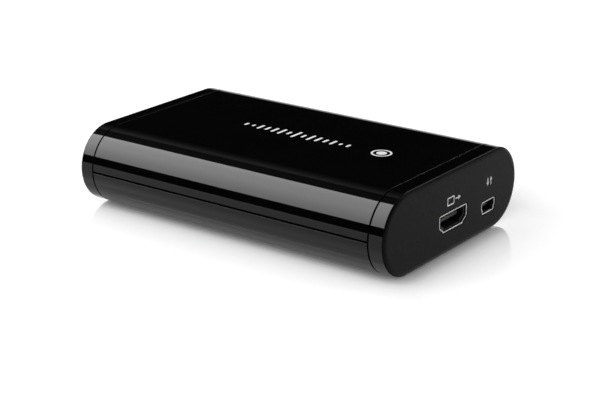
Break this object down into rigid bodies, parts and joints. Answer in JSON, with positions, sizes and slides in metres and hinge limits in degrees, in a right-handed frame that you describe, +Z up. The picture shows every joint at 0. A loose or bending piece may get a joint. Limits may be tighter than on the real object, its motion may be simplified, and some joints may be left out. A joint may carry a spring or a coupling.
{
  "type": "video capture box",
  "caption": "Flat black box with round long sides and separate end caps, which takes in video at one end and passes it on, and out as data, at the other",
  "frame": {"origin": "middle of the plane that the feet stand on", "axes": "+X along the case to the output end, +Y across it, +Z up"},
  "size_m": [0.123, 0.08, 0.0275],
  "materials": {
    "case_gloss": "polished black moulding",
    "cap_black": "polished band, fine matt face",
    "foot_rubber": "matt",
    "screw_steel": "zinc plated",
    "board_laminate": "solder mask over glass laminate",
    "socket_nickel": "nickel plated sheet",
    "insulator_black": "moulded",
    "contact_gold": "gold plated",
    "chip_black": "moulded epoxy",
    "pad_soft": "soft silicone",
    "sink_aluminium": "extruded, plain",
    "crystal_steel": "drawn can",
    "ferrite_grey": "sintered",
    "base_black": "moulded",
    "ceramic_tan": "fired, tinned ends"
  },
  "bodies": {
    "root": {"top_shell": "case_gloss", "bottom_shell": "case_gloss", "output_end_cap": "cap_black", "input_end_cap": "cap_black", "rubber_feet": "foot_rubber", "case_screws": "screw_steel", "board_screws": "screw_steel", "main_board": "board_laminate", "video_out_shell": "socket_nickel", "video_in_shell": "socket_nickel", "data_shell": "socket_nickel", "analogue_shell": "socket_nickel", "video_out_insulator": "insulator_black", "video_in_insulator": "insulator_black", "data_insulator": "insulator_black", "analogue_insulator": "insulator_black", "video_out_contacts": "contact_gold", "video_in_contacts": "contact_gold", "data_contacts": "contact_gold", "analogue_contacts": "contact_gold", "encoder_chip": "chip_black", "memory_chips": "chip_black", "receiver_chip": "chip_black", "decoder_chip": "chip_black", "transmitter_chip": "chip_black", "bus_controller_chip": "chip_black", "flash_chip": "chip_black", "voltage_regulators": "chip_black", "thermal_pad": "pad_soft", "heat_sink": "sink_aluminium", "capacitor_cans": "sink_aluminium", "crystals": "crystal_steel", "power_inductors": "ferrite_grey", "video_filters": "ferrite_grey", "capacitor_bases": "base_black", "chip_capacitors": "ceramic_tan"}
  },
  "joints": []
}
